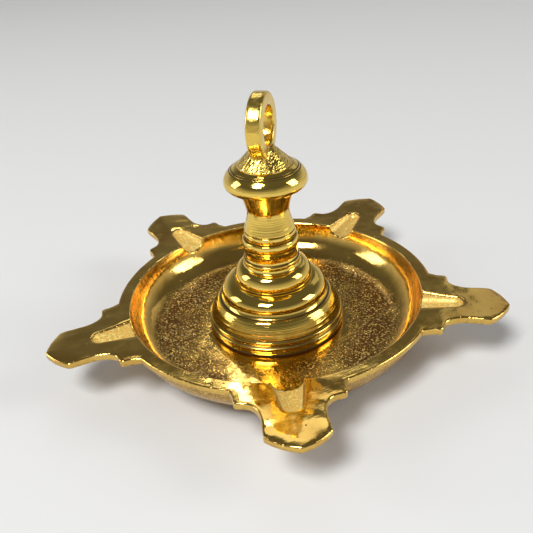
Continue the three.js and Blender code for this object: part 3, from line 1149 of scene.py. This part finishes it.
make_piece("ring_casting", bm, ["suspension_ring"], filed_finish())

# %% [markdown]
# ## The fastening
# The rod, the washer, the nut and the fibre ring under the bell keep their CAD shapes, which are
# right. They only need finishes: drawn steel that is dull and finely scratched, and a pressed fibre.

# %% Finishes of the fastening
pale_steel = (0.55, 0.56, 0.57, 1)
dull_steel = (0.38, 0.38, 0.38, 1)
dark_fibre = (0.055, 0.035, 0.02, 1)
pale_fibre = (0.10, 0.07, 0.045, 1)


def steel_finish():
    material, tree, shader = metal("plain_steel")
    point = places(tree)[0]
    draw_marks = noise(tree, stretched(tree, point, (0.45, 0.45, 5.0)), 0.6, 3.0)
    normal = relief(tree, draw_marks, 0.03)
    dull = noise(tree, point, 2.5, 3.0)
    tone = blend(tree, fade(tree, dull, 0.35, 0.65), pale_steel, dull_steel)
    dress(tree, shader, tone, fade(tree, dull, 0.3, 0.7, 0.3, 0.46), normal)
    return material


def fibre_finish():
    material, tree, shader = metal("pressed_fibre", metallic=0.0)
    point = places(tree)[0]
    fibres = noise(tree, stretched(tree, point, (2.5, 0.55, 0.33), (0, 0, 0.8)), 0.5, 4.0, 0.7)
    normal = relief(tree, fibres, 0.08)
    tone = blend(tree, fade(tree, fibres, 0.35, 0.65), dark_fibre, pale_fibre)
    dress(tree, shader, tone, fade(tree, fibres, 0.3, 0.7, 0.75, 0.92), normal)
    return material


plain_steel = steel_finish()
pressed_fibre = fibre_finish()
for name, finish in {
    "tie_rod": plain_steel, "base_washer": plain_steel, "base_nut": plain_steel,
    "foot_gasket": pressed_fibre,
}.items():
    for held in frame["nodes"][name].material_slots:
        held.material = finish
    print(name, "is finished in", finish.name)

# %% [markdown]
# ## Floor and light
# The lamp stands on plain pale paper. Polished brass shows whatever is round it, so the room matters
# more than the lights: it is pale near the horizon and darker overhead, which gives the flat faces
# their depth. One strong soft box hangs in front and above. One on each side and two weak ones behind
# put broad highlights on the metal, and a small one behind stands for a far window.

# %% Floor
paper_grey = (0.75, 0.75, 0.74, 1)
bm = bmesh.new()
bmesh.ops.create_grid(bm, x_segments=1, y_segments=1, size=2.0)
floor = put_in_scene("floor", mesh_of("floor", bm))
paper = bpy.data.materials.new("paper_floor")
paper.use_nodes = True
paper_shader = paper.node_tree.nodes["Principled BSDF"]
paper_shader.inputs["Base Color"].default_value = paper_grey
paper_shader.inputs["Roughness"].default_value = 0.9
floor.data.materials.append(paper)
print("the floor is finished in", paper.name)

# %% Lights and room
box_aim = Vector((0, 0, 0.03))
horizon_grey = 0.62
overhead_grey = 0.12


def soft_box(name, place, size, power):
    """A rectangular light, in metres and watts, that faces the lamp."""
    light = bpy.data.lights.new(name, "AREA")
    light.shape = "RECTANGLE"
    light.size, light.size_y = size
    light.energy = power
    box = put_in_scene(name, light)
    box.location = place
    box.rotation_euler = (box_aim - Vector(place)).to_track_quat("-Z", "Y").to_euler()


soft_box("key", (-0.60, -0.90, 1.60), (0.60, 0.60), 30)
soft_box("side", (1.70, -0.30, 0.90), (0.70, 1.0), 12)
soft_box("left", (-1.70, 0.30, 0.80), (0.6, 1.0), 7)
soft_box("back_top", (0.0, 1.40, 1.60), (0.80, 0.50), 1.4)
soft_box("window", (-0.07, 1.43, 1.21), (0.07, 0.07), 0.35)
soft_box("back_right", (0.92, 1.52, 1.16), (0.70, 0.60), 0.5)

world = bpy.data.worlds.new("studio")
bpy.context.scene.world = world
world.use_nodes = True
tree = world.node_tree
ray = add(tree, "TexCoord", {}, out="Generated")
rise = add(tree, "SeparateXYZ", {0: ray}, out="Z")
shade = fade(tree, rise, 0.0, 0.6, horizon_grey, overhead_grey)
room = add(tree, "CombineColor", {0: shade, 1: shade, 2: shade})
tree.links.new(room, tree.nodes["Background"].inputs["Color"])
print("lights:", [light.name for light in bpy.data.lights])

# %% [markdown]
# ## The camera
# The camera stands where the photograph was taken from. It was fitted to the rim, the beaks and the
# stem. It first looks straight at the middle of the rim's plane, then it is rolled, and then it is
# panned and tilted until that middle comes to its own pixel.

# %% Camera
image_side = 533
sensor_width = 36
focal_pixels = 706.552
camera_turn = math.radians(-1.929)
camera_rise = math.radians(32.132)
camera_roll = math.radians(4.606)
camera_distance = 0.28519
aim_pixel = (274.402, 288.659)  # where the middle of the rim's plane lies in the picture

pan_angle = math.atan((aim_pixel[0] - image_side / 2) / focal_pixels)
tilt_angle = math.atan((image_side / 2 - aim_pixel[1]) / focal_pixels * math.cos(pan_angle))


def swung(first, second, angle):
    """Two of the camera's axes after a turn in the plane that they span."""
    c, s = math.cos(angle), math.sin(angle)
    return first * c + second * s, second * c - first * s


right = Vector((1, 0, 0))
up = Vector((0, math.sin(camera_rise), math.cos(camera_rise)))
forward = Vector((0, math.cos(camera_rise), -math.sin(camera_rise)))
place = -forward * camera_distance
right, up = swung(right, up, -camera_roll)
right, forward = swung(right, forward, pan_angle)
up, forward = swung(up, forward, tilt_angle)
facing = Matrix((right, up, -forward)).transposed()
camera_data = bpy.data.cameras.new("camera")
camera_data.sensor_width = sensor_width
camera_data.lens = focal_pixels / image_side * sensor_width
camera = put_in_scene("camera", camera_data)
turn = Matrix.Rotation(camera_turn, 4, "Z")
lift = Matrix.Translation((0, 0, rim_top * mm))
camera.matrix_world = lift @ turn @ Matrix.Translation(place) @ facing.to_4x4()
bpy.context.scene.camera = camera
bpy.context.scene.view_settings.view_transform = "Standard"
print("focal length:", round(camera_data.lens, 1), "mm")
